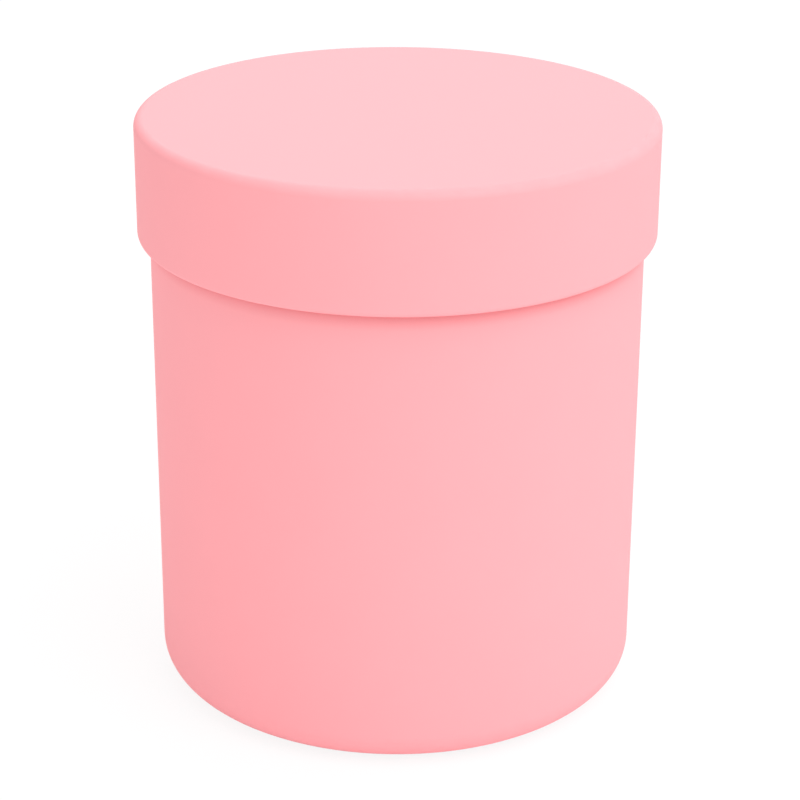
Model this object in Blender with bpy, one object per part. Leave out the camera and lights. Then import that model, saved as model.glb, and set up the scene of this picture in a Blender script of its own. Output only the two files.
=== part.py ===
"""A round box with a deep slip-on lid, modelled piece by piece in metres with +Z up.

The box stands on z = 0, and its axis is the Z axis. The body is a moulded cup on an inset foot
ring. The lid is a moulded cap. A liner snaps into the cap and carries the seal, whose two lips
wipe the bore of the body, and the whole lid lifts straight off.
"""

import math

import bmesh
import bpy

MM = 0.001

# Overall sizes, scaled from the picture
BODY_DIAMETER = 100.0 * MM
BODY_HEIGHT = 116.5 * MM
LID_HEIGHT = 24.2 * MM

# Running gaps: around the body under the lid, and between pieces that sit on each other
SLIP_GAP = 0.3 * MM
SEAT_GAP = 0.3 * MM

# Body shell
BODY_WALL = 2.2 * MM
FLOOR_THICKNESS = 2.4 * MM
BASE_EDGE_RADIUS = 6.3 * MM
RIM_EDGE_RADIUS = 0.8 * MM
SEAL_LAND_MARGIN = 4.0 * MM
WALL_DRAFT_DEG = 0.5
BASE_RECESS_DEPTH = 1.2 * MM
RECESS_EDGE_RADIUS = 0.5 * MM
GATE_DIMPLE_RADIUS = 4.0 * MM
GATE_DIMPLE_DEPTH = 0.5 * MM

# Foot ring and the groove that holds it
FOOT_RING_WIDTH = 4.0 * MM
FOOT_RING_PROUD = 0.5 * MM
FOOT_GROOVE_DEPTH = 1.2 * MM
FOOT_EDGE_RADIUS = 0.4 * MM
FOOT_OUTER_LAND = 1.5 * MM
FOOT_INNER_LAND = 1.6 * MM

# Lid cap
CAP_WALL = 2.2 * MM
CAP_TOP_THICKNESS = 2.2 * MM
CAP_EDGE_RADIUS = 1.9 * MM
SKIRT_EDGE_RADIUS = 1.0 * MM
LEAD_IN_WIDTH = 0.6 * MM
LEAD_IN_HEIGHT = 1.6 * MM
LEAD_IN_EDGE_RADIUS = 0.3 * MM

# Lid liner: a disc that snaps under the cap's top, with a plug wall that enters the body
LINER_THICKNESS = 1.6 * MM
SNAP_BEAD_RADIUS = 0.6 * MM
PLUG_DEPTH = 9.0 * MM
PLUG_WALL = 2.8 * MM
PLUG_SIDE_GAP = 1.6 * MM
PLUG_EDGE_RADIUS = 0.7 * MM
PLUG_ROOT_RADIUS = 1.2 * MM

# Lid seal and the groove that holds it
SEAL_GROOVE_DEPTH = 1.5 * MM
SEAL_GROOVE_HEIGHT = 5.4 * MM
SEAL_SHOULDER = 1.7 * MM
LIP_ROOT_THICKNESS = 1.1 * MM
LIP_TIP_THICKNESS = 0.5 * MM
LIP_RISE = 0.7 * MM
LIP_COUNT = 2

# Facets round the axis, and in a quarter circle of a large or a small edge
SEGMENTS = 64
LARGE_EDGE_STEPS = 6
SMALL_EDGE_STEPS = 3
SHARP_ANGLE_DEG = 31.0

# Body radii and heights
body_radius = BODY_DIAMETER / 2
bore_radius = body_radius - BODY_WALL
base_z = FOOT_RING_PROUD
recess_z = base_z + BASE_RECESS_DEPTH
groove_roof_z = base_z + FOOT_GROOVE_DEPTH
floor_z = max(recess_z, groove_roof_z) + FLOOR_THICKNESS
land_z = BODY_HEIGHT - PLUG_DEPTH - SEAL_LAND_MARGIN
floor_radius = bore_radius - (land_z - floor_z) * math.tan(math.radians(WALL_DRAFT_DEG))

# Foot ring radii
foot_outer_radius = body_radius - BASE_EDGE_RADIUS - FOOT_OUTER_LAND - SEAT_GAP
foot_inner_radius = foot_outer_radius - FOOT_RING_WIDTH
recess_radius = foot_inner_radius - SEAT_GAP - FOOT_INNER_LAND

# Lid radii, and lid heights above the rim of the body, which is z = 0 for the lid's pieces
skirt_inner_radius = body_radius + SLIP_GAP
lid_radius = skirt_inner_radius + CAP_WALL
liner_radius = skirt_inner_radius - SEAT_GAP
liner_bottom = SEAT_GAP
liner_top = liner_bottom + LINER_THICKNESS
snap_height = (liner_bottom + liner_top) / 2
cap_underside = liner_top + SEAT_GAP
cap_top = cap_underside + CAP_TOP_THICKNESS
skirt_bottom = cap_top - LID_HEIGHT

# Plug wall and seal
plug_radius = bore_radius - PLUG_SIDE_GAP
plug_inner_radius = plug_radius - PLUG_WALL
plug_bottom = liner_bottom - PLUG_DEPTH
seal_groove_radius = plug_radius - SEAL_GROOVE_DEPTH
seal_groove_bottom = plug_bottom + SEAL_SHOULDER
seal_groove_top = seal_groove_bottom + SEAL_GROOVE_HEIGHT
lip_tip_radius = bore_radius - SEAT_GAP


def corner(radius, height, edge_radius=0.0, steps=SMALL_EDGE_STEPS):
    """One corner of a turned outline: where it is, and how it is rounded."""
    return radius, height, edge_radius, steps


def rounded_corner(before, here, after):
    """The points of an arc that touches both sides of a corner, or the corner itself."""
    radius, height, edge_radius, steps = here
    if edge_radius == 0.0:
        return [(radius, height)]
    back = (before[0] - radius, before[1] - height)
    ahead = (after[0] - radius, after[1] - height)
    back_angle = math.atan2(back[1], back[0])
    ahead_angle = math.atan2(ahead[1], ahead[0])
    turn = (ahead_angle - back_angle + math.pi) % math.tau - math.pi
    half = abs(turn) / 2
    middle_angle = back_angle + turn / 2
    reach = edge_radius / math.sin(half)
    centre = (radius + reach * math.cos(middle_angle), height + reach * math.sin(middle_angle))
    sweep = (math.pi - abs(turn)) * math.copysign(1, turn)
    start_angle = middle_angle + math.pi + sweep / 2
    count = max(2, round(steps * abs(sweep) / (math.pi / 2)))
    return arc(centre, edge_radius, start_angle, start_angle - sweep, count)


def arc(centre, radius, start_angle, end_angle, steps):
    """Points on an arc about a centre, both ends included."""
    angles = [start_angle + (end_angle - start_angle) * i / steps for i in range(steps + 1)]
    return [(centre[0] + radius * math.cos(a), centre[1] + radius * math.sin(a)) for a in angles]


def outline(corners, closed=False):
    """The points of an outline, with each corner rounded by its own edge radius."""
    points = []
    last = len(corners) - 1
    for i, here in enumerate(corners):
        if not closed and i in (0, last):
            points.append(here[:2])
        else:
            points.extend(rounded_corner(corners[i - 1], here, corners[(i + 1) % (last + 1)]))
    return points


def turned(name, points, material, parent=None, closed=False):
    """A solid of revolution: the outline spun once round Z, with its ends merged on the axis."""
    shape = bmesh.new()
    verts = [shape.verts.new((radius, 0.0, height)) for radius, height in points]
    pairs = list(zip(verts, verts[1:]))
    if closed:
        pairs.append((verts[-1], verts[0]))
    edges = [shape.edges.new(pair) for pair in pairs]
    bmesh.ops.spin(
        shape,
        geom=verts + edges,
        cent=(0, 0, 0),
        axis=(0, 0, 1),
        angle=math.tau,
        steps=SEGMENTS,
        use_merge=True,
    )
    weld = SEAT_GAP / SEGMENTS
    bmesh.ops.remove_doubles(shape, verts=shape.verts, dist=weld)
    bmesh.ops.recalc_face_normals(shape, faces=shape.faces)
    mesh = bpy.data.meshes.new(name)
    shape.to_mesh(mesh)
    shape.free()
    mesh.shade_smooth()
    mesh.set_sharp_from_angle(angle=math.radians(SHARP_ANGLE_DEG))
    mesh.materials.append(material)
    piece = bpy.data.objects.new(name, mesh)
    piece.parent = parent
    bpy.context.scene.collection.objects.link(piece)
    return piece


def finish(name, colour, roughness):
    """A plain non-metal material with the colour and the dullness of the real surface."""
    material = bpy.data.materials.new(name)
    material.use_nodes = True
    shader = material.node_tree.nodes["Principled BSDF"]
    shader.inputs["Base Color"].default_value = (*colour, 1.0)
    shader.inputs["Roughness"].default_value = roughness
    shader.inputs["Metallic"].default_value = 0.0
    return material


def body_shell(material):
    """The cup: rounded base edge, straight outside, drafted inside, and a straight bore for the seal."""
    groove_outer = foot_outer_radius + SEAT_GAP
    groove_inner = foot_inner_radius - SEAT_GAP
    inner_edge_radius = max(BASE_EDGE_RADIUS - BODY_WALL, RIM_EDGE_RADIUS)
    corners = [
        corner(0.0, recess_z + GATE_DIMPLE_DEPTH),
        corner(GATE_DIMPLE_RADIUS, recess_z + GATE_DIMPLE_DEPTH),
        corner(GATE_DIMPLE_RADIUS, recess_z),
        corner(recess_radius, recess_z, RECESS_EDGE_RADIUS),
        corner(recess_radius, base_z),
        corner(groove_inner, base_z),
        corner(groove_inner, groove_roof_z),
        corner(groove_outer, groove_roof_z),
        corner(groove_outer, base_z),
        corner(body_radius, base_z, BASE_EDGE_RADIUS, LARGE_EDGE_STEPS),
        corner(body_radius, BODY_HEIGHT, RIM_EDGE_RADIUS),
        corner(bore_radius, BODY_HEIGHT, RIM_EDGE_RADIUS),
        corner(bore_radius, land_z),
        corner(floor_radius, floor_z, inner_edge_radius, LARGE_EDGE_STEPS),
        corner(0.0, floor_z),
    ]
    return turned("body_shell", outline(corners), material)


def foot_ring(material):
    """The soft ring that the box stands on, set in the groove of the body and a little proud of it."""
    ring_top = groove_roof_z - SEAT_GAP
    corners = [
        corner(foot_inner_radius, 0.0, FOOT_EDGE_RADIUS),
        corner(foot_outer_radius, 0.0, FOOT_EDGE_RADIUS),
        corner(foot_outer_radius, ring_top),
        corner(foot_inner_radius, ring_top),
    ]
    return turned("foot_ring", outline(corners, closed=True), material, closed=True)


def lid_cap(material, parent):
    """The outer cap: flat top, rounded edge, deep skirt with a lead-in, and a groove for the snap bead."""
    groove_arc_radius = SNAP_BEAD_RADIUS + SEAT_GAP
    # Angle at which the groove's arc, centred on the liner's rim, leaves the skirt's inner wall
    leave = math.acos(SEAT_GAP / groove_arc_radius)
    skirt = [
        corner(0.0, cap_top),
        corner(lid_radius, cap_top, CAP_EDGE_RADIUS, LARGE_EDGE_STEPS),
        corner(lid_radius, skirt_bottom, SKIRT_EDGE_RADIUS),
        corner(skirt_inner_radius + LEAD_IN_WIDTH, skirt_bottom, LEAD_IN_EDGE_RADIUS),
        corner(skirt_inner_radius, skirt_bottom + LEAD_IN_HEIGHT),
    ]
    snap_centre = (liner_radius, snap_height)
    groove = arc(snap_centre, groove_arc_radius, -leave, leave, 2 * SMALL_EDGE_STEPS)
    roof = [(skirt_inner_radius, cap_underside), (0.0, cap_underside)]
    return turned("lid_cap", outline(skirt) + groove + roof, material, parent)


def lid_liner(material, parent):
    """The inner disc: a snap bead round its edge, and a plug wall with the groove for the seal."""
    quarter = math.pi / 2
    bead_centre = (liner_radius, snap_height)
    bead = arc(bead_centre, SNAP_BEAD_RADIUS, quarter, -quarter, 2 * SMALL_EDGE_STEPS)
    top = [(0.0, liner_top), (liner_radius, liner_top)]
    underside = [
        corner(liner_radius, liner_bottom),
        corner(plug_radius, liner_bottom),
        corner(plug_radius, seal_groove_top),
        corner(seal_groove_radius, seal_groove_top),
        corner(seal_groove_radius, seal_groove_bottom),
        corner(plug_radius, seal_groove_bottom),
        corner(plug_radius, plug_bottom, PLUG_EDGE_RADIUS),
        corner(plug_inner_radius, plug_bottom, PLUG_EDGE_RADIUS),
        corner(plug_inner_radius, liner_bottom, PLUG_ROOT_RADIUS),
        corner(0.0, liner_bottom),
    ]
    return turned("lid_liner", top + bead + outline(underside), material, parent)


def lid_seal(material, parent):
    """The soft ring in the plug's groove, with lips that rise outwards to the bore of the body."""
    back_radius = seal_groove_radius + SEAT_GAP
    seal_bottom = seal_groove_bottom + SEAT_GAP
    seal_top = seal_groove_top - SEAT_GAP
    pitch = (seal_top - seal_bottom) / LIP_COUNT
    corners = [
        corner(back_radius, seal_bottom),
        corner(plug_radius, seal_bottom),
    ]
    for i in range(LIP_COUNT):
        # Each lip's root sits in the middle of its own share of the ring's height
        root = seal_bottom + pitch * (i + 0.5) - LIP_ROOT_THICKNESS / 2
        corners += [
            corner(plug_radius, root),
            corner(lip_tip_radius, root + LIP_RISE),
            corner(lip_tip_radius, root + LIP_RISE + LIP_TIP_THICKNESS),
            corner(plug_radius, root + LIP_ROOT_THICKNESS),
        ]
    corners += [
        corner(plug_radius, seal_top),
        corner(back_radius, seal_top),
    ]
    return turned("lid_seal", outline(corners, closed=True), material, parent, closed=True)


def lid_axis():
    """An empty at the centre of the body's rim: the lid's pieces hang from it and lift along its Z."""
    empty = bpy.data.objects.new("lid_lift_axis", None)
    empty.location = (0, 0, BODY_HEIGHT)
    bpy.context.scene.collection.objects.link(empty)
    return empty


def build():
    for old in list(bpy.data.objects):
        bpy.data.objects.remove(old)
    soft_touch = finish("soft_touch_pink", (0.98, 0.38, 0.41), 0.62)
    moulded = finish("moulded_pink", (0.96, 0.37, 0.4), 0.42)
    seal_rubber = finish("seal_silicone", (0.86, 0.84, 0.83), 0.5)
    foot_rubber = finish("foot_silicone", (0.78, 0.75, 0.74), 0.6)
    body_shell(soft_touch)
    foot_ring(foot_rubber)
    lid = lid_axis()
    lid_cap(soft_touch, lid)
    lid_liner(moulded, lid)
    lid_seal(seal_rubber, lid)


build()
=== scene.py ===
"""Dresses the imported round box: fine turned shells, soft seal and foot ring, finishes and a studio.

Every piece of the box is a surface of revolution. Its outline is a list of corners in radius and
height, each rounded by its own arc, and the outline is spun about Z as one numpy grid.
"""

import math

import bpy
import numpy as np
from bpy.props import FloatProperty, FloatVectorProperty, IntProperty, PointerProperty
from mathutils import Matrix, Vector


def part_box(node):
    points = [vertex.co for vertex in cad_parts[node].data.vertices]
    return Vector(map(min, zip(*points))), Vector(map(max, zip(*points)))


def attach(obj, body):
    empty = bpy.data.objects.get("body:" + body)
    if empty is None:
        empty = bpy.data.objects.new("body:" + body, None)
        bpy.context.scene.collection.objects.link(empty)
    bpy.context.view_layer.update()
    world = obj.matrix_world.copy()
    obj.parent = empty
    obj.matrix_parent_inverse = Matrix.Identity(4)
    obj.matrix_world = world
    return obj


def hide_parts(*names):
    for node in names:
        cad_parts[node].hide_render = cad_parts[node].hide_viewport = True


bl_info = {
    "name": "Round Box",
    "version": (1, 0, 0),
    "blender": (4, 5, 0),
    "location": "3D View > Sidebar > Round Box",
    "description": "Fine shells, seals, finishes and a plain studio for a round box with a slip-on lid",
    "category": "Object",
}

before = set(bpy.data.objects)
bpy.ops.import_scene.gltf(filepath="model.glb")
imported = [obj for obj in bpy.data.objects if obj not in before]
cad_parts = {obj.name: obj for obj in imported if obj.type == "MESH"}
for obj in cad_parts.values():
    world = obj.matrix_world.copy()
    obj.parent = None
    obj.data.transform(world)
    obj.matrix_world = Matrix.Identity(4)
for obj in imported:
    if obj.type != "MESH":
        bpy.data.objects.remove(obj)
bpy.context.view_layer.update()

MM = 0.001

# Length kept flat beside each arc, so that a wall stays straight in the shading, and the shortest
# stretch that gets it
SUPPORT = 0.12 * MM
SHORTEST_SUPPORTED = 4 * SUPPORT
# Fewest faces over a rounded edge
FEWEST_STEPS = 3
# Faces that meet at a larger angle are shaded apart
SHARP_ANGLE = math.radians(31.0)


def reach(node):
    """Largest radius, lowest height and highest height of a CAD node about Z."""
    low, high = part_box(node)
    return high.x, low.z, high.z


body_radius, base_z, rim_z = reach("body_shell")
foot_radius, foot_z, foot_top_z = reach("foot_ring")
lid_radius, skirt_z, top_z = reach("lid_cap")
bead_reach, plug_z, liner_top_z = reach("lid_liner")
lip_reach, seal_z, seal_top_z = reach("lid_seal")


def length(name, description, millimetres):
    """A length property, given in millimetres."""
    return FloatProperty(
        name=name, description=description, default=millimetres * MM, min=0.0, precision=5, unit="LENGTH"
    )


def share(name, description, default):
    """A property from 0 to 1."""
    return FloatProperty(
        name=name, description=description, default=default, min=0.0, max=1.0, subtype="FACTOR"
    )


def colour(name, description, default):
    """A colour property."""
    return FloatVectorProperty(
        name=name, description=description, default=default, min=0.0, max=1.0, subtype="COLOR"
    )


def angle(name, description, degrees):
    """An angle property, given in degrees."""
    return FloatProperty(
        name=name, description=description, default=math.radians(degrees), subtype="ANGLE"
    )


def power(name, description, watts):
    """A lamp's power, given in watts."""
    return FloatProperty(name=name, description=description, default=watts, min=0.0, subtype="POWER")


def number(name, description, default, least):
    """A property that counts something."""
    return IntProperty(name=name, description=description, default=default, min=least)


class RoundBoxShape(bpy.types.PropertyGroup):
    """Sizes shared by the pieces, which the frame's boxes don't give."""

    segments: number("Segments", "Faces round the axis", 288, least=32)
    edge_steps: number("Edge steps", "Faces in a quarter of an edge", 14, least=3)
    small_steps: number("Small edge steps", "Faces in a quarter of a small edge", 5, least=2)
    wall: length("Wall", "Thickness of the body's and the cap's walls", 2.2)
    seat_gap: length("Seat gap", "Gap between seated pieces", 0.3)
    small_edge: length("Small edge", "Radius of the small moulded edges", 0.15)


class RoundBoxBody(bpy.types.PropertyGroup):
    """Sizes of the cup and its foot ring."""

    base_edge: length("Base edge", "Radius of the base edge", 6.3)
    rim_edge: length("Rim edge", "Radius of the rim's two edges", 0.8)
    floor: length("Floor", "Thickness of the floor", 2.4)
    recess: length("Recess", "Depth of the hollow under the base", 1.2)
    recess_edge: length("Recess edge", "Radius inside the hollow", 0.5)
    dimple_radius: length("Dimple radius", "Radius of the gate's dimple", 4.0)
    dimple_depth: length("Dimple depth", "Depth of the gate's dimple", 0.5)
    gate_radius: length("Gate radius", "Radius of the trimmed gate in its dimple", 0.8)
    gate_height: length("Gate height", "Height of the trimmed gate", 0.25)
    seal_land: length("Seal land", "Straight bore below the plug wall", 4.0)
    land_blend: length("Land blend", "Radius between straight and drafted bore", 60.0)
    draft: angle("Draft", "Lean of the bore", 0.5)
    foot_width: length("Foot width", "Width of the foot ring", 4.0)
    foot_edge: length("Foot edge", "Radius of the foot ring's lower edges", 0.4)
    foot_land: length("Foot land", "Land inside the foot ring's groove", 1.6)


class RoundBoxLid(bpy.types.PropertyGroup):
    """Sizes of the cap, its liner and the seal."""

    cap_edge: length("Cap edge", "Radius of the top edge", 1.9)
    skirt_edge: length("Skirt edge", "Radius of the skirt's lower edge", 1.0)
    lead_width: length("Lead-in width", "Width of the slope inside the skirt's mouth", 0.6)
    lead_height: length("Lead-in height", "Height of the slope inside the skirt's mouth", 1.6)
    lead_edge: length("Lead-in edge", "Radius of the slope's edges", 0.3)
    liner: length("Liner", "Thickness of the liner's disc", 1.6)
    bead: length("Bead", "Radius of the snap bead", 0.6)
    side_gap: length("Side gap", "Gap between bore and plug wall", 1.6)
    plug_wall: length("Plug wall", "Thickness of the plug wall", 2.8)
    plug_edge: length("Plug edge", "Radius of the plug wall's lower edges", 0.7)
    plug_root: length("Plug root", "Radius where the plug wall meets the disc", 1.2)
    groove: length("Seal groove", "Depth of the seal's groove", 1.5)
    lips: number("Lips", "Number of lips on the seal", 2, least=1)
    lip_root: length("Lip root", "Thickness of a lip at its root", 1.1)
    lip_tip: length("Lip tip", "Thickness of a lip at its tip", 0.5)
    lip_rise: length("Lip rise", "Height that a lip climbs to its tip", 0.7)


class RoundBoxFinish(bpy.types.PropertyGroup):
    """Colours and surface of the finishes."""

    coat: colour("Coat", "Sprayed soft-touch coat", (0.99, 0.395, 0.422))
    bare: colour("Bare moulding", "Uncoated plastic inside", (0.97, 0.375, 0.4))
    seal: colour("Seal", "Milky silicone", (0.86, 0.84, 0.83))
    foot: colour("Foot", "Pale grey silicone", (0.78, 0.75, 0.74))
    coat_dullness: share("Coat dullness", "Roughness of the coat", 0.72)
    bare_dullness: share("Bare dullness", "Roughness of the bare moulding", 0.44)
    rubber_dullness: share("Silicone dullness", "Roughness of the silicone", 0.55)
    grain: length("Grain", "Width of the surface's fine grain", 0.22)
    grain_depth: length("Grain depth", "Depth of the surface's fine grain", 0.01)
    cloud: length("Cloud", "Width of the faint clouds of tone", 14.0)
    overspray: length("Overspray", "How far the coat fades into the mouths", 7.0)
    # Painted shade: how far from the gap under the skirt the coat's colour is painted darker
    painted_shade_reach: length("Nook", "Reach of the deeper tone at the gap under the skirt", 3.6)
    rub: share("Rub", "How rubbed the rounded edges are", 0.25)
    slide: share("Slide marks", "How marked the walls are where the lid slides", 0.8)


class RoundBoxStudio(bpy.types.PropertyGroup):
    """Camera, lamps and floor."""

    camera_distance: length("Camera distance", "From the axis, along the floor", 465.41)
    camera_height: length("Camera height", "Above the floor", 253.79)
    camera_tilt: angle("Camera tilt", "Below the horizon", 22.752)
    camera_roll: angle("Camera roll", "Anticlockwise", 0.275)
    lens: FloatProperty(name="Lens", description="Focal length", default=108.68, unit="CAMERA")
    shift: FloatProperty(
        name="Shift", description="Sideways, as a share of the width", default=0.0042, precision=4
    )
    sky: share("Sky", "Strength of the even white light", 0.79)
    key: power("Key", "Power of the lamp in front on the right", 7.0)
    key_side: angle("Key side", "From straight in front to the right", 45.0)
    key_rise: angle("Key rise", "Height above the horizon", 50.0)
    flank: power("Flank", "Power of the high lamp on the right", 5.3)
    flank_side: angle("Flank side", "From straight in front to the right", 90.0)
    flank_rise: angle("Flank rise", "Height above the horizon", 70.0)
    rear: power("Rear", "Power of the lamp straight behind", 4.8)
    rear_rise: angle("Rear rise", "Height above the horizon", 30.0)
    lamp_size: length("Lamp size", "Side of each square lamp", 900.0)
    lamp_distance: length("Lamp distance", "From the middle of the box", 1400.0)
    floor_half: length("Floor", "Half the side of the floor", 3000.0)
    floor_white: share("Floor white", "How much light the floor gives back", 0.98)
    floor_shade: share("Floor shade", "Share of real light and shadow in the floor as it is seen", 0.12)
    floor_glow: share("Floor glow", "Share of plain white in the floor as it is seen", 0.88)


GROUPS = {
    "round_box_shape": RoundBoxShape,
    "round_box_body": RoundBoxBody,
    "round_box_lid": RoundBoxLid,
    "round_box_finish": RoundBoxFinish,
    "round_box_studio": RoundBoxStudio,
}


def setting(name):
    """One group of settings, such as shape or finish."""
    return getattr(bpy.context.scene, f"round_box_{name}")


# Turned outlines


def corner(radius, height, edge=0.0, inside=False):
    """One corner of an outline: its place, the radius of its edge, and if the coat fades there."""
    return radius, height, edge, float(inside)


def edge_arc(before, here, after, edge):
    """Points of the arc that touches both sides of a corner, and if the outline turns left there.

    The centre lies on the bisector, edge / sin(half the corner's angle) from the corner, and the arc
    runs between the two points where the sides are square to its radius. A small edge gets fewer
    points than a large one.
    """
    shape = setting("shape")
    back = (before - here) / np.linalg.norm(before - here)
    ahead = (after - here) / np.linalg.norm(after - here)
    bisector = (back + ahead) / np.linalg.norm(back + ahead)
    half = math.acos(float(np.clip(back @ bisector, -1, 1)))
    centre = here + bisector * edge / math.sin(half)
    start = here + back * edge / math.tan(half) - centre
    left = back[0] * ahead[1] < back[1] * ahead[0]
    sweep = math.pi - 2 * half
    quarter = shape.edge_steps if edge > 2 * shape.small_edge else shape.small_steps
    count = max(FEWEST_STEPS, round(quarter * sweep / (math.pi / 2)))
    angles = np.linspace(0, sweep if left else -sweep, count + 1)
    cosine, sine = np.cos(angles), np.sin(angles)
    arc = np.stack([start[0] * cosine - start[1] * sine, start[0] * sine + start[1] * cosine], axis=1)
    return centre + arc, left


def outline(corners, closed=False):
    """The outline as rows of radius, height, rub and inside, walked so that its faces point outwards.

    Rub swells from 0 to 1 and back over each rounded edge that stands out, and inside is each
    corner's own. Each stretch between two corners that is long enough gets a point just beside both,
    which keeps it flat.
    """
    table = np.array(corners)
    ahead = np.roll(table, -1, axis=0)
    if np.sum(table[:, 0] * ahead[:, 1] - ahead[:, 0] * table[:, 1]) < 0:
        table = table[::-1]
    places, last = table[:, :2], len(table) - 1
    stretches = []
    for i, (_, _, edge, inside) in enumerate(table):
        points, rub = places[i : i + 1], np.zeros(1)
        if edge and (closed or 0 < i < last):
            points, left = edge_arc(places[i - 1], places[i], places[(i + 1) % (last + 1)], edge)
            rub = np.sin(np.linspace(0, math.pi, len(points))) * left
        stretches.append(np.column_stack([points, rub, np.full(len(points), inside)]))
    rows = []
    for here, following in zip(stretches, stretches[1:] + stretches[:1]):
        rows.append(here)
        gap = following[0, :2] - here[-1, :2]
        span = np.linalg.norm(gap)
        if span > SHORTEST_SUPPORTED and (closed or following is not stretches[0]):
            step = gap / span * SUPPORT
            rows.append(np.array([[*(here[-1, :2] + step), 0, here[-1, 3]]]))
            rows.append(np.array([[*(following[0, :2] - step), 0, following[0, 3]]]))
    return np.concatenate(rows)


def turned(name, corners, material, mouth=0.0, closed=False):
    """A surface of revolution as one grid. An end on the axis is one point with a fan of triangles.

    With u the angle about Z and v the place along the outline, point(u, v) = (radius(v) cos u,
    radius(v) sin u, height(v)). Each point keeps its rub, and its depth: inside times the height
    from the mouth.
    """
    steps = setting("shape").segments
    rows = outline(corners, closed)
    rings = rows[rows[:, 0] > 0]
    angles = np.arange(steps) * (math.tau / steps)
    radius, height = rings[:, :1], rings[:, 1:2]
    level = np.broadcast_to(height, (len(rings), steps))
    grid = np.stack([radius * np.cos(angles), radius * np.sin(angles), level], axis=-1)
    index = np.arange(len(rings) * steps).reshape(len(rings), steps)
    lower, upper = (index, np.roll(index, -1, axis=0)) if closed else (index[:-1], index[1:])
    quads = np.stack([lower, np.roll(lower, -1, 1), np.roll(upper, -1, 1), upper], axis=-1)
    points, faces = grid.reshape(-1, 3), quads.reshape(-1, 4).tolist()
    marks = np.repeat(rings[:, 2:], steps, axis=0)
    if not closed:
        for row, ring in ((rows[0], index[0][::-1]), (rows[-1], index[-1])):
            pole = np.full(steps, len(points))
            faces += np.stack([pole, ring, np.roll(ring, -1)], axis=-1).tolist()
            points = np.vstack([points, [0, 0, row[1]]])
            marks = np.vstack([marks, row[2:]])
    mesh = bpy.data.meshes.new(name)
    mesh.from_pydata(points, [], faces)
    depth = marks[:, 1] * np.abs(points[:, 2] - mouth)
    for label, values in (("rub", marks[:, 0]), ("depth", depth)):
        mesh.attributes.new(label, "FLOAT", "POINT").data.foreach_set("value", values.astype(np.float32))
    mesh.shade_smooth()
    mesh.set_sharp_from_angle(angle=SHARP_ANGLE)
    mesh.materials.append(material)
    piece = bpy.data.objects.new(name, mesh)
    bpy.context.scene.collection.objects.link(piece)
    return piece


def seat(piece, body, node):
    """The piece rides on its body and stands in for the CAD node, which is hidden."""
    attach(piece, body)
    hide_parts(node)


# Shader building

# Numbers of a Mix node's two inputs and its output, because those of each kind share their names
MIX_SOCKETS = {"FLOAT": (2, 3, 0), "RGBA": (6, 7, 2)}


def fill(tree, sockets, values):
    """Gives each socket its value, or a link where the value is itself a socket."""
    for socket, value in zip(sockets, values):
        if isinstance(value, bpy.types.NodeSocket):
            tree.links.new(value, socket)
        else:
            socket.default_value = value


def add(tree, kind, values=None, **attributes):
    """A node with its attributes set and its named inputs filled."""
    node = tree.nodes.new(kind)
    for name, value in attributes.items():
        setattr(node, name, value)
    values = values or {}
    fill(tree, [node.inputs[name] for name in values], values.values())
    return node


def maths(tree, operation, *values):
    """One Math node's output."""
    node = add(tree, "ShaderNodeMath", operation=operation)
    fill(tree, node.inputs, values)
    return node.outputs[0]


def product(tree, result, *others):
    """All the given values multiplied."""
    for other in others:
        result = maths(tree, "MULTIPLY", result, other)
    return result


def height_of(tree, place):
    """A place's height."""
    return add(tree, "ShaderNodeSeparateXYZ", {"Vector": place}).outputs["Z"]


def size_of(tree, vector):
    """A vector's length."""
    return add(tree, "ShaderNodeVectorMath", {0: vector}, operation="LENGTH").outputs["Value"]


def from_axis(tree, place):
    """Distance from Z: the length of the place with its height left out."""
    flat = add(tree, "ShaderNodeVectorMath", {0: place, 1: (1, 1, 0)}, operation="MULTIPLY")
    return size_of(tree, flat.outputs["Vector"])


def ramp(tree, value, low, high, start=0.0, end=1.0):
    """The value eased from start to end as it goes from low to high."""
    values = {"Value": value, "From Min": low, "From Max": high, "To Min": start, "To Max": end}
    return add(tree, "ShaderNodeMapRange", values, interpolation_type="SMOOTHSTEP").outputs["Result"]


def noise(tree, place, width, detail=2.0):
    """A noise from 0 to 1 whose blobs are about as wide as given."""
    given = isinstance(width, bpy.types.NodeSocket)
    scale = maths(tree, "DIVIDE", 1.0, width) if given else 1 / width
    values = {"Vector": place, "Scale": scale, "Detail": detail}
    return add(tree, "ShaderNodeTexNoise", values).outputs["Fac"]


def mix(tree, kind, mask, first, second):
    """From the first value or colour to the second by a mask."""
    start, end, result = MIX_SOCKETS[kind]
    node = add(tree, "ShaderNodeMix", {"Factor": mask, start: first, end: second}, data_type=kind)
    return node.outputs[result]


def mix_colour(tree, mask, first, second):
    """From the first colour to the second by a mask."""
    return mix(tree, "RGBA", mask, first, second)


def mix_value(tree, mask, first, second):
    """From the first value to the second by a mask."""
    return mix(tree, "FLOAT", mask, first, second)


def tint(base, factor):
    """A colour made darker or lighter, as four values."""
    return tuple(min(1.0, channel * factor) for channel in base) + (1.0,)


def effect(name, build, inputs, outputs):
    """A shader node group with named inputs and outputs, built once.

    An input whose default is None is a vector. The build function gets the group, its given sockets
    and the sockets for its results.
    """
    found = bpy.data.node_groups.get(name)
    if found:
        return found
    group = bpy.data.node_groups.new(name, "ShaderNodeTree")
    for label, default in inputs.items():
        kind = "NodeSocketVector" if default is None else "NodeSocketFloat"
        socket = group.interface.new_socket(name=label, in_out="INPUT", socket_type=kind)
        if default is not None:
            socket.default_value = default
    for label in outputs:
        group.interface.new_socket(name=label, in_out="OUTPUT", socket_type="NodeSocketFloat")
    given = group.nodes.new("NodeGroupInput").outputs
    result = group.nodes.new("NodeGroupOutput").inputs
    build(group, given, result)
    return group


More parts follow.
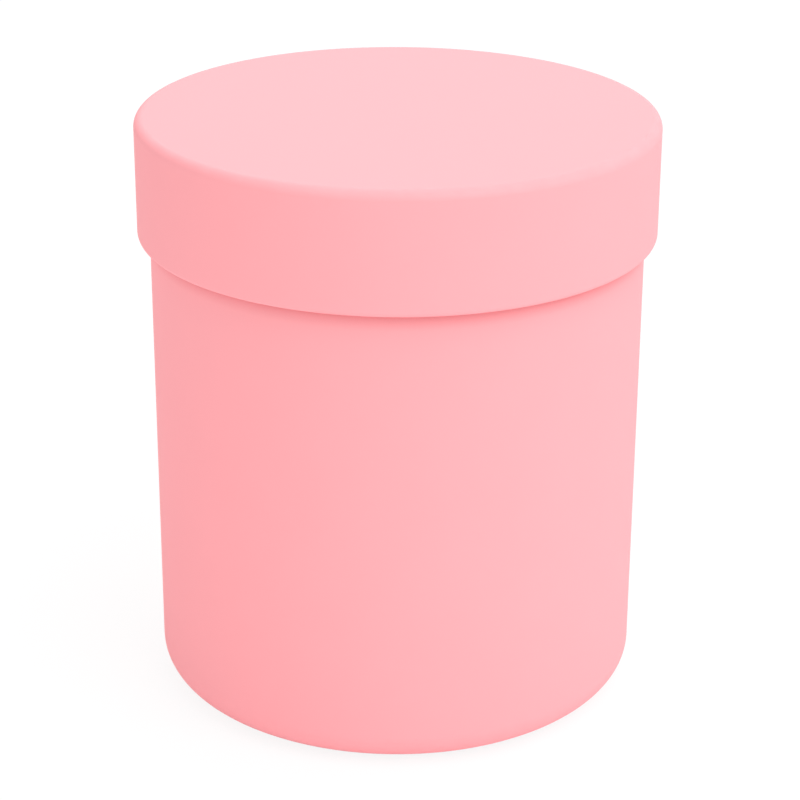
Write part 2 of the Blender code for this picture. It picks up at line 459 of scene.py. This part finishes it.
def use(tree, group, values):
    """A shared effect placed in a material with its own values."""
    return add(tree, "ShaderNodeGroup", values, node_tree=group).outputs


# Shared effects

# Share of the wide clouds in the tone, beside the fine grain
CLOUD_SHARE = 0.65
# Levels at which a noise starts to count and at which it counts in full
RUB_PATCHES = 0.38, 0.66
SLIDE_STREAKS = 0.5, 0.75
SLIDE_PATCHES = 0.35, 0.65
DUST_PATCHES = 0.42, 0.7
# Widths of the noises
RING_WANDER = 8 * MM
SLIDE_STREAK = 0.5 * MM
SLIDE_PATCH = 18 * MM
DUST_PATCH = 9 * MM
# Width of the streaks as a share of their length, and how far they fade at their two ends
STREAK_SHARE = 0.03
LOW_FADE = 3 * MM
HIGH_FADE = 1 * MM
# Width of the slope round an ejector disc
PIN_SLOPE = 0.3 * MM
# Where a speck of dust starts to fade and where it ends, as shares of the spacing
SPECK_EDGE = 0.05, 0.16


def build_grain(group, given, result):
    """Height is a fine noise. Tone is a blend of that noise and wide soft clouds."""
    fine = noise(group, given["Place"], given["Grain"], detail=3.0)
    clouds = noise(group, given["Place"], given["Cloud"])
    group.links.new(fine, result["Height"])
    group.links.new(mix_value(group, CLOUD_SHARE, fine, clouds), result["Tone"])


def moulded_grain():
    """The fine grain of a moulded or sprayed surface."""
    inputs = {"Place": None, "Grain": 0.2 * MM, "Cloud": 14 * MM}
    return effect("moulded_grain", build_grain, inputs, ["Height", "Tone"])


def build_rub(group, given, result):
    """The piece's own rub value, broken into patches by a noise."""
    patches = ramp(group, noise(group, given["Place"], given["Patch"], detail=4.0), *RUB_PATCHES)
    group.links.new(product(group, given["Rub"], patches, given["Amount"]), result["Mask"])


def edge_rub():
    """Patchy rub on the rounded edges."""
    inputs = {"Place": None, "Rub": 0.0, "Patch": 6 * MM, "Amount": 0.5}
    return effect("edge_rub", build_rub, inputs, ["Mask"])


def build_turning(group, given, result):
    """Half of 1 plus the sine of the distance from the axis, with its phase shifted by a noise."""
    turns = maths(group, "DIVIDE", from_axis(group, given["Place"]), given["Pitch"])
    shift = noise(group, given["Place"], RING_WANDER)
    wave = maths(group, "SINE", maths(group, "MULTIPLY_ADD", turns, math.tau, shift))
    group.links.new(maths(group, "MULTIPLY_ADD", wave, 0.5, 0.5), result["Height"])


def turning_marks():
    """Fine rings about Z, as a turned mould leaves them on flat faces."""
    return effect("turning_marks", build_turning, {"Place": None, "Pitch": 0.5 * MM}, ["Height"])


def build_pins(group, given, result):
    """Discs that repeat round Z, with a the angle about Z less the nearest multiple of the sector.

    With r the distance from the axis, the distance from the disc's middle is the length of
    (r cos a - circle, r sin a).
    """
    split = add(group, "ShaderNodeSeparateXYZ", {"Vector": given["Place"]}).outputs
    around = maths(group, "ARCTAN2", split["Y"], split["X"])
    sector = maths(group, "DIVIDE", math.tau, given["Count"])
    nearest = maths(group, "ROUND", maths(group, "DIVIDE", around, sector))
    off = maths(group, "SUBTRACT", around, maths(group, "MULTIPLY", nearest, sector))
    away = from_axis(group, given["Place"])
    outward = maths(group, "MULTIPLY", away, maths(group, "COSINE", off))
    along = maths(group, "SUBTRACT", outward, given["Circle"])
    across = maths(group, "MULTIPLY", away, maths(group, "SINE", off))
    local = add(group, "ShaderNodeCombineXYZ", {"X": along, "Y": across}).outputs["Vector"]
    flat_end = maths(group, "SUBTRACT", given["Pin"], PIN_SLOPE)
    disc = ramp(group, size_of(group, local), flat_end, given["Pin"], 1.0, 0.0)
    above = maths(group, "GREATER_THAN", split["Z"], given["Above"])
    group.links.new(product(group, disc, above), result["Mask"])


def ejector_marks():
    """Faint discs where the pins pushed the moulding out."""
    inputs = {"Place": None, "Circle": 30 * MM, "Pin": 3 * MM, "Count": 6.0, "Above": 0.0}
    return effect("ejector_marks", build_pins, inputs, ["Mask"])


def build_slide(group, given, result):
    """Streaks from a noise that is stretched along Z, between two heights and within a radius."""
    place, low, high = given["Place"], given["Low"], given["High"]
    squeeze = {0: place, 1: (1, 1, STREAK_SHARE)}
    upright = add(group, "ShaderNodeVectorMath", squeeze, operation="MULTIPLY").outputs["Vector"]
    streaks = ramp(group, noise(group, upright, SLIDE_STREAK, detail=3.0), *SLIDE_STREAKS)
    patches = ramp(group, noise(group, place, SLIDE_PATCH), *SLIDE_PATCHES)
    height = height_of(group, place)
    over = ramp(group, height, low, maths(group, "ADD", low, LOW_FADE))
    under = ramp(group, height, high, maths(group, "ADD", high, HIGH_FADE), 1.0, 0.0)
    within = maths(group, "LESS_THAN", from_axis(group, place), given["Within"])
    mask = product(group, streaks, patches, given["Amount"], over, under, within)
    group.links.new(mask, result["Mask"])


def slide_marks():
    """Upright streaks where the lid and the seal slide on the body."""
    inputs = {"Place": None, "Low": 0.0, "High": 1.0, "Within": 1.0, "Amount": 0.5}
    return effect("slide_marks", build_slide, inputs, ["Mask"])


def build_dust(group, given, result):
    """Small dots at scattered points, more of them where a wide noise is high."""
    scale = maths(group, "DIVIDE", 1.0, given["Spacing"])
    cells = add(group, "ShaderNodeTexVoronoi", {"Vector": given["Place"], "Scale": scale})
    dots = ramp(group, cells.outputs["Distance"], *SPECK_EDGE, 1.0, 0.0)
    patches = ramp(group, noise(group, given["Place"], DUST_PATCH), *DUST_PATCHES)
    group.links.new(product(group, dots, patches, given["Amount"]), result["Mask"])


def dust_specks():
    """Scattered specks of dust."""
    inputs = {"Place": None, "Spacing": 0.8 * MM, "Amount": 0.5}
    return effect("dust_specks", build_dust, inputs, ["Mask"])


# Materials

# Darkest and lightest tone of each surface, as multiples of its colour
COAT_TONES = 0.98, 1.02
MOULDING_TONES = 0.96, 1.03
SILICONE_TONES = 0.94, 1.05
# Tone of rubbed and handled places and of dust, as multiples of the surface's colour
WORN_COAT = 1.12
WORN_MOULDING = 1.08
WORN_SILICONE = 0.84
DUST = 0.6
# What is left of the coat's red, green and blue in the painted shade deep in the gap under the skirt
PAINTED_SHADE_TINT = 0.65, 0.03, 0.04
# How far each surface's roughness wanders to either side
COAT_SPREAD = 0.05
MOULDING_SPREAD = 0.07
SILICONE_SPREAD = 0.1
# What wear, an ejector disc and a speck of dust add to the roughness
WORN_POLISH = -0.2
PIN_POLISH = -0.12
DUST_DULLNESS = 0.3
# Heights on a bare moulding and on silicone, as multiples of the grain's depth
MOULDING_GRAIN = 0.5
MOULDING_RINGS = 0.7
MOULDING_PINS = -10.0
SILICONE_RINGS = 0.4
# Where the coat starts to fade in a mouth, and the width and depth of its ragged edge
SPRAY_START = 3 * MM
SPRAY_PATCH = 3 * MM
SPRAY_RAGGED = 4 * MM
# The coat hardly mirrors anything
COAT_GLOSS = 0.15
# Ejector discs on the liner: their circle round Z, their radius and their number
LINER_PINS = {"Circle": 34 * MM, "Pin": 2.5 * MM, "Count": 8.0}
# Widths of silicone's clouds and rubbed patches, and the distance between its rings
SILICONE_CLOUD = 5 * MM
SILICONE_PATCH = 3 * MM
SILICONE_PITCH = 0.25 * MM
# How much of the light goes into silicone, how far, and the share of that for red, green and blue
SILICONE_DEPTH = 0.3
SILICONE_REACH = 1 * MM
SILICONE_REACH_SHARES = 1.0, 0.9, 0.8


def new_material(name):
    """A material with its tree, its Principled shader and the place on the piece."""
    material = bpy.data.materials.new(name)
    material.use_nodes = True
    tree = material.node_tree
    place = tree.nodes.new("ShaderNodeTexCoord").outputs["Object"]
    return material, tree, tree.nodes["Principled BSDF"], place


def kept(tree, name):
    """A value that the piece keeps at its points."""
    return add(tree, "ShaderNodeAttribute", attribute_name=name).outputs["Fac"]


def bump(tree, shader, height, depth):
    """A height from 0 to 1, as deep as given, into the shader's normal."""
    node = add(tree, "ShaderNodeBump", {"Height": height, "Distance": depth, "Strength": 1.0})
    tree.links.new(node.outputs["Normal"], shader.inputs["Normal"])


def toned(tree, grain, base, tones):
    """A colour that wanders from its darkest to its lightest tone."""
    dark, light = tones
    return mix_colour(tree, grain["Tone"], tint(base, dark), tint(base, light))


def uneven(tree, grain, dullness, spread):
    """A roughness that wanders with the tone, from one spread below its value to one above."""
    return maths(tree, "MULTIPLY_ADD", grain["Tone"], 2 * spread, dullness - spread)


def moulding_relief(tree, place, grain, pins):
    """The height of a bare moulding: faint grain and turning rings, and sunken ejector discs."""
    rings = use(tree, turning_marks(), {"Place": place})["Height"]
    rings = maths(tree, "MULTIPLY", rings, MOULDING_RINGS)
    relief = maths(tree, "MULTIPLY_ADD", grain["Height"], MOULDING_GRAIN, rings)
    return maths(tree, "MULTIPLY_ADD", pins, MOULDING_PINS, relief)


def moulding_dullness(tree, grain, pins):
    """The roughness of a bare moulding: uneven, and glossier in the ejector discs."""
    dull = uneven(tree, grain, setting("finish").bare_dullness, MOULDING_SPREAD)
    return maths(tree, "MULTIPLY_ADD", pins, PIN_POLISH, dull)


def painted_shade_under_skirt(tree, place):
    """How much painted shade the walls get at the gap under the skirt, from 0 in the open to 1.

    It is 1 less the open share of the air within reach. It counts in full from that reach below the
    skirt up to the top of the skirt's rounded edge, and eases off over as much again below.
    """
    painted_shade_reach = setting("finish").painted_shade_reach
    # Painted shade: ambient occlusion, which below darkens the coat's colour
    air = add(tree, "ShaderNodeAmbientOcclusion", {"Distance": painted_shade_reach}, samples=6).outputs["AO"]
    height = height_of(tree, place)
    near_gap = ramp(tree, height, skirt_z - 2 * painted_shade_reach, skirt_z - painted_shade_reach)
    below_cap = maths(tree, "LESS_THAN", height, skirt_z + setting("lid").skirt_edge)
    return product(tree, maths(tree, "SUBTRACT", 1.0, air), near_gap, below_cap)


def soft_touch_pink():
    """Velvety sprayed coat outside, which fades inside the mouths to the satin bare moulding.

    The coat is rubbed a little lighter and smoother on its edges and where the lid slides. Close to the
    gap under the skirt its colour is painted darker and redder, a painted shade that stands in for the
    light that comes back from pink walls only.
    """
    found = bpy.data.materials.get("soft_touch_pink_fine")
    if found:
        return found
    finish, body = setting("finish"), setting("body")
    material, tree, shader, place = new_material("soft_touch_pink_fine")
    grain = use(tree, moulded_grain(), {"Place": place, "Grain": finish.grain, "Cloud": finish.cloud})
    rub = use(tree, edge_rub(), {"Place": place, "Rub": kept(tree, "rub"), "Amount": finish.rub})["Mask"]
    band = {"Low": skirt_z, "High": rim_z, "Within": (body_radius + lid_radius) / 2}
    slide = use(tree, slide_marks(), {"Place": place, "Amount": finish.slide, **band})["Mask"]
    worn = maths(tree, "MAXIMUM", rub, slide)
    # The discs are on the floor's upper side only
    above = base_z + body.recess + body.floor / 2
    pins = use(tree, ejector_marks(), {"Place": place, "Above": above})["Mask"]
    wander = noise(tree, place, SPRAY_PATCH)
    ragged = maths(tree, "MULTIPLY_ADD", wander, SPRAY_RAGGED, kept(tree, "depth"))
    bare = ramp(tree, ragged, SPRAY_START, SPRAY_START + finish.overspray)

    coat = toned(tree, grain, finish.coat, COAT_TONES)
    used = mix_colour(tree, worn, coat, tint(finish.coat, WORN_COAT))
    surface = mix_colour(tree, bare, used, toned(tree, grain, finish.bare, MOULDING_TONES))
    # Painted shade: the coat's colour goes to dark red where the gap under the skirt shuts out the light
    painted_shade_colour = (*(channel * left for channel, left in zip(finish.coat, PAINTED_SHADE_TINT)), 1.0)
    with_painted_shade = mix_colour(tree, painted_shade_under_skirt(tree, place), surface, painted_shade_colour)
    tree.links.new(with_painted_shade, shader.inputs["Base Color"])

    dull = uneven(tree, grain, finish.coat_dullness, COAT_SPREAD)
    dull = maths(tree, "MULTIPLY_ADD", worn, WORN_POLISH, dull)
    dull = mix_value(tree, bare, dull, moulding_dullness(tree, grain, pins))
    tree.links.new(dull, shader.inputs["Roughness"])
    relief = mix_value(tree, bare, grain["Height"], moulding_relief(tree, place, grain, pins))
    bump(tree, shader, relief, finish.grain_depth)
    shader.inputs["Specular IOR Level"].default_value = COAT_GLOSS
    return material


def moulded_pink():
    """Bare moulding: satin, finely grained, with faint turning rings, ejector discs and rubbed edges."""
    found = bpy.data.materials.get("moulded_pink_fine")
    if found:
        return found
    finish = setting("finish")
    material, tree, shader, place = new_material("moulded_pink_fine")
    grain = use(tree, moulded_grain(), {"Place": place, "Grain": finish.grain, "Cloud": finish.cloud})
    rub = use(tree, edge_rub(), {"Place": place, "Rub": kept(tree, "rub"), "Amount": finish.rub})["Mask"]
    pins = use(tree, ejector_marks(), {"Place": place, **LINER_PINS})["Mask"]
    plain = toned(tree, grain, finish.bare, MOULDING_TONES)
    used = mix_colour(tree, rub, plain, tint(finish.bare, WORN_MOULDING))
    tree.links.new(used, shader.inputs["Base Color"])
    tree.links.new(moulding_dullness(tree, grain, pins), shader.inputs["Roughness"])
    bump(tree, shader, moulding_relief(tree, place, grain, pins), finish.grain_depth)
    return material


def silicone(name, base, dust):
    """Moulded silicone: milky, with light going in, faint clouds and rings, and dust on it."""
    found = bpy.data.materials.get(name)
    if found:
        return found
    finish = setting("finish")
    material, tree, shader, place = new_material(name)
    grain = use(tree, moulded_grain(), {"Place": place, "Grain": finish.grain, "Cloud": SILICONE_CLOUD})
    rings = use(tree, turning_marks(), {"Place": place, "Pitch": SILICONE_PITCH})["Height"]
    edges = {"Rub": kept(tree, "rub"), "Patch": SILICONE_PATCH, "Amount": finish.rub}
    rub = use(tree, edge_rub(), {"Place": place, **edges})["Mask"]
    specks = use(tree, dust_specks(), {"Place": place, "Amount": dust})["Mask"]
    milky = toned(tree, grain, base, SILICONE_TONES)
    handled = mix_colour(tree, rub, milky, tint(base, WORN_SILICONE))
    dusty = mix_colour(tree, specks, handled, tint(base, DUST))
    tree.links.new(dusty, shader.inputs["Base Color"])
    dull = uneven(tree, grain, finish.rubber_dullness, SILICONE_SPREAD)
    dull = maths(tree, "MULTIPLY_ADD", specks, DUST_DULLNESS, dull)
    tree.links.new(dull, shader.inputs["Roughness"])
    relief = maths(tree, "MULTIPLY_ADD", rings, SILICONE_RINGS, grain["Height"])
    bump(tree, shader, relief, finish.grain_depth)
    shader.inputs["Subsurface Weight"].default_value = SILICONE_DEPTH
    shader.inputs["Subsurface Radius"].default_value = SILICONE_REACH_SHARES
    shader.inputs["Subsurface Scale"].default_value = SILICONE_REACH
    return material


# Pieces


class ROUNDBOX_OT_body_shell(bpy.types.Operator):
    """Turn the cup: base edge, straight wall, rounded rim, drafted bore and hollow base with its gate"""

    bl_idname = "round_box.body_shell"
    bl_label = "Body Shell"

    def execute(self, context):
        shape, body = setting("shape"), setting("body")
        bore = body_radius - shape.wall
        recess_z = base_z + body.recess
        dimple_z = recess_z + body.dimple_depth
        floor_z = recess_z + body.floor
        land_z = plug_z - shape.seat_gap - body.seal_land
        floor_radius = bore - (land_z - floor_z) * math.tan(body.draft)
        groove_outer = foot_radius + shape.seat_gap
        groove_inner = foot_radius - body.foot_width - shape.seat_gap
        recess_radius = groove_inner - body.foot_land
        roof_z = foot_top_z + shape.seat_gap
        small = shape.small_edge
        corners = [
            corner(0.0, dimple_z - body.gate_height, inside=True),
            corner(body.gate_radius, dimple_z - body.gate_height, small / 2, inside=True),
            corner(body.gate_radius, dimple_z, small / 2, inside=True),
            corner(body.dimple_radius, dimple_z, small, inside=True),
            corner(body.dimple_radius, recess_z, small, inside=True),
            corner(recess_radius, recess_z, body.recess_edge, inside=True),
            corner(recess_radius, base_z, small, inside=True),
            corner(groove_inner, base_z, small, inside=True),
            corner(groove_inner, roof_z, small, inside=True),
            corner(groove_outer, roof_z, small),
            corner(groove_outer, base_z, small),
            corner(body_radius, base_z, body.base_edge),
            corner(body_radius, rim_z, body.rim_edge),
            corner(bore, rim_z, body.rim_edge, inside=True),
            corner(bore, land_z, body.land_blend, inside=True),
            corner(floor_radius, floor_z, body.base_edge - shape.wall, inside=True),
            corner(0.0, floor_z, inside=True),
        ]
        piece = turned("body_shell_fine", corners, soft_touch_pink(), mouth=rim_z)
        seat(piece, "box", "body_shell")
        return {"FINISHED"}


class ROUNDBOX_OT_foot_ring(bpy.types.Operator):
    """Turn the soft ring that the box stands on"""

    bl_idname = "round_box.foot_ring"
    bl_label = "Foot Ring"

    def execute(self, context):
        shape, body, finish = setting("shape"), setting("body"), setting("finish")
        inner = foot_radius - body.foot_width
        corners = [
            corner(inner, foot_z, body.foot_edge),
            corner(foot_radius, foot_z, body.foot_edge),
            corner(foot_radius, foot_top_z, shape.small_edge),
            corner(inner, foot_top_z, shape.small_edge),
        ]
        rubber = silicone("foot_silicone_fine", finish.foot, dust=0.8)
        piece = turned("foot_ring_fine", corners, rubber, closed=True)
        seat(piece, "box", "foot_ring")
        return {"FINISHED"}


class ROUNDBOX_OT_lid_cap(bpy.types.Operator):
    """Turn the cap: flat top, rounded edge, deep skirt with its lead-in, and the snap bead's groove"""

    bl_idname = "round_box.lid_cap"
    bl_label = "Lid Cap"

    def execute(self, context):
        shape, lid = setting("shape"), setting("lid")
        inner = lid_radius - shape.wall
        roof_z = liner_top_z + shape.seat_gap
        snap_z = liner_top_z - lid.liner / 2
        groove = lid.bead + shape.seat_gap
        small = shape.small_edge
        corners = [
            corner(0.0, top_z),
            corner(lid_radius, top_z, lid.cap_edge),
            corner(lid_radius, skirt_z, lid.skirt_edge),
            corner(inner + lid.lead_width, skirt_z, lid.lead_edge, inside=True),
            corner(inner, skirt_z + lid.lead_height, lid.lead_edge, inside=True),
            corner(inner, snap_z - groove, small, inside=True),
            corner(inner + lid.bead, snap_z - groove / 2, small, inside=True),
            corner(inner + lid.bead, snap_z + groove / 2, small, inside=True),
            corner(inner, snap_z + groove, small, inside=True),
            corner(inner, roof_z, inside=True),
            corner(0.0, roof_z, inside=True),
        ]
        piece = turned("lid_cap_fine", corners, soft_touch_pink(), mouth=skirt_z)
        seat(piece, "lid", "lid_cap")
        return {"FINISHED"}


class ROUNDBOX_OT_lid_liner(bpy.types.Operator):
    """Turn the inner disc of the lid: snap bead, plug wall and the groove for the seal"""

    bl_idname = "round_box.lid_liner"
    bl_label = "Lid Liner"

    def execute(self, context):
        shape, lid = setting("shape"), setting("lid")
        disc = bead_reach - lid.bead
        under_z = liner_top_z - lid.liner
        middle_z = liner_top_z - lid.liner / 2
        plug = body_radius - shape.wall - lid.side_gap
        groove = plug - lid.groove
        low, high = seal_z - shape.seat_gap, seal_top_z + shape.seat_gap
        small = shape.small_edge
        corners = [
            corner(0.0, liner_top_z),
            corner(disc, liner_top_z, small),
            corner(disc, middle_z + lid.bead, small / 2),
            corner(bead_reach, middle_z + lid.bead, lid.bead - small / 2),
            corner(bead_reach, middle_z - lid.bead, lid.bead - small / 2),
            corner(disc, middle_z - lid.bead, small / 2),
            corner(disc, under_z, small),
            corner(plug, under_z, small),
            corner(plug, high, small),
            corner(groove, high, small),
            corner(groove, low, small),
            corner(plug, low, small),
            corner(plug, plug_z, lid.plug_edge),
            corner(plug - lid.plug_wall, plug_z, lid.plug_edge),
            corner(plug - lid.plug_wall, under_z, lid.plug_root),
            corner(0.0, under_z),
        ]
        piece = turned("lid_liner_fine", corners, moulded_pink())
        seat(piece, "lid", "lid_liner")
        return {"FINISHED"}


class ROUNDBOX_OT_lid_seal(bpy.types.Operator):
    """Turn the soft ring in the plug's groove, with its rising lips"""

    bl_idname = "round_box.lid_seal"
    bl_label = "Lid Seal"

    def execute(self, context):
        shape, lid, finish = setting("shape"), setting("lid"), setting("finish")
        front = body_radius - shape.wall - lid.side_gap
        back = front - lid.groove + shape.seat_gap
        pitch = (seal_top_z - seal_z) / lid.lips
        small = shape.small_edge
        corners = [corner(back, seal_z, small), corner(front, seal_z, small)]
        for i in range(lid.lips):
            low = seal_z + pitch * (i + 0.5) - lid.lip_root / 2
            corners += [
                corner(front, low, small),
                corner(lip_reach, low + lid.lip_rise, small),
                corner(lip_reach, low + lid.lip_rise + lid.lip_tip, small),
                corner(front, low + lid.lip_root, small),
            ]
        corners += [corner(front, seal_top_z, small), corner(back, seal_top_z, small)]
        rubber = silicone("seal_silicone_fine", finish.seal, dust=0.3)
        piece = turned("lid_seal_fine", corners, rubber, closed=True)
        seat(piece, "lid", "lid_seal")
        return {"FINISHED"}


# Studio

# The camera's sensor, in its own unit of millimetres, and how near it sees
SENSOR_WIDTH = 36.0
NEAREST_SEEN = 10 * MM
FLOOR_DULLNESS = 0.9


def seen_as_white(tree):
    """1 on the paths that show the background: to the camera, in gloss and through glass."""
    path = tree.nodes.new("ShaderNodeLightPath").outputs
    seen = maths(tree, "MAXIMUM", path["Is Camera Ray"], path["Is Glossy Ray"])
    return maths(tree, "MAXIMUM", seen, path["Is Transmission Ray"])


def set_floor(studio):
    """A square sheet at z = 0, on a 2 by 2 grid of corners. It is seen as white with a faint shadow."""
    side = np.array([-studio.floor_half, studio.floor_half])
    x, y = np.meshgrid(side, side)
    mesh = bpy.data.meshes.new("studio_floor")
    mesh.from_pydata(np.stack([x, y, 0 * x], axis=-1).reshape(-1, 3), [], [(0, 1, 3, 2)])
    material = bpy.data.materials.new("studio_white")
    material.use_nodes = True
    tree = material.node_tree
    shader = tree.nodes["Principled BSDF"]
    seen = seen_as_white(tree)
    shown = mix_value(tree, seen, studio.floor_white, studio.floor_shade)
    tree.links.new(shown, shader.inputs["Base Color"])
    tree.links.new(maths(tree, "MULTIPLY", seen, studio.floor_glow), shader.inputs["Emission Strength"])
    shader.inputs["Emission Color"].default_value = (1, 1, 1, 1)
    shader.inputs["Roughness"].default_value = FLOOR_DULLNESS
    shader.inputs["Specular IOR Level"].default_value = 0.0
    mesh.materials.append(material)
    floor = bpy.data.objects.new("studio_floor", mesh)
    bpy.context.scene.collection.objects.link(floor)


def set_sky(studio):
    """Even white light, seen as plain white."""
    world = bpy.data.worlds.new("studio_sky")
    world.use_nodes = True
    bpy.context.scene.world = world
    tree = world.node_tree
    background = tree.nodes["Background"]
    background.inputs["Color"].default_value = (1, 1, 1, 1)
    tree.links.new(mix_value(tree, seen_as_white(tree), studio.sky, 1.0), background.inputs["Strength"])


def set_lamp(name, watts, side, rise, studio):
    """A large square lamp turned to the middle of the box.

    Side is its angle from the front to the right, and rise its angle above the horizon.
    """
    lamp = bpy.data.lights.new(name, "AREA")
    lamp.size = studio.lamp_size
    lamp.energy = watts
    level = math.cos(rise)
    away = Vector((math.sin(side) * level, -math.cos(side) * level, math.sin(rise)))
    place = Matrix.Translation(Vector((0, 0, top_z / 2)) + away * studio.lamp_distance)
    softbox = bpy.data.objects.new(name, lamp)
    softbox.matrix_world = place @ (-away).to_track_quat("-Z", "Y").to_matrix().to_4x4()
    bpy.context.scene.collection.objects.link(softbox)


def set_camera(studio):
    """The camera on the -Y side, tipped down, rolled a little and shifted sideways."""
    lens = bpy.data.cameras.new("studio_camera")
    lens.sensor_width = SENSOR_WIDTH
    lens.lens = studio.lens
    lens.shift_x = studio.shift
    lens.clip_start = NEAREST_SEEN
    camera = bpy.data.objects.new("studio_camera", lens)
    place = Matrix.Translation((0, -studio.camera_distance, studio.camera_height))
    tilt = Matrix.Rotation(math.pi / 2 - studio.camera_tilt, 4, "X")
    camera.matrix_world = place @ tilt @ Matrix.Rotation(studio.camera_roll, 4, "Z")
    bpy.context.scene.collection.objects.link(camera)
    bpy.context.scene.camera = camera


class ROUNDBOX_OT_studio(bpy.types.Operator):
    """Set the pale floor, the soft lamps, the white sky and the camera"""

    bl_idname = "round_box.studio"
    bl_label = "Studio"

    def execute(self, context):
        studio = setting("studio")
        set_floor(studio)
        set_sky(studio)
        set_lamp("studio_key", studio.key, studio.key_side, studio.key_rise, studio)
        set_lamp("studio_flank", studio.flank, studio.flank_side, studio.flank_rise, studio)
        set_lamp("studio_rear", studio.rear, math.pi, studio.rear_rise, studio)
        set_camera(studio)
        context.scene.view_settings.view_transform = "Standard"
        return {"FINISHED"}


MAKERS = (
    ROUNDBOX_OT_body_shell,
    ROUNDBOX_OT_foot_ring,
    ROUNDBOX_OT_lid_cap,
    ROUNDBOX_OT_lid_liner,
    ROUNDBOX_OT_lid_seal,
    ROUNDBOX_OT_studio,
)


class ROUNDBOX_PT_sidebar(bpy.types.Panel):
    """Lists the settings and the operators in the sidebar of the 3D view"""

    bl_idname = "ROUNDBOX_PT_sidebar"
    bl_label = "Round Box"
    bl_space_type = "VIEW_3D"
    bl_region_type = "UI"
    bl_category = "Round Box"

    def draw(self, context):
        for name, group in GROUPS.items():
            box = self.layout.box()
            for label in group.__annotations__:
                box.prop(getattr(context.scene, name), label)
        for maker in MAKERS:
            self.layout.operator(maker.bl_idname)


def register():
    """Add the settings, the operators and the panel."""
    for name, group in GROUPS.items():
        bpy.utils.register_class(group)
        setattr(bpy.types.Scene, name, PointerProperty(type=group))
    for maker in (*MAKERS, ROUNDBOX_PT_sidebar):
        bpy.utils.register_class(maker)


def unregister():
    """Take the settings, the operators and the panel away."""
    for maker in (*MAKERS, ROUNDBOX_PT_sidebar):
        bpy.utils.unregister_class(maker)
    for name, group in GROUPS.items():
        delattr(bpy.types.Scene, name)
        bpy.utils.unregister_class(group)


def main():
    """Make the box and its studio."""
    register()
    bpy.ops.round_box.body_shell()
    bpy.ops.round_box.foot_ring()
    bpy.ops.round_box.lid_cap()
    bpy.ops.round_box.lid_liner()
    bpy.ops.round_box.lid_seal()
    bpy.ops.round_box.studio()


if __name__ == "__main__":
    main()
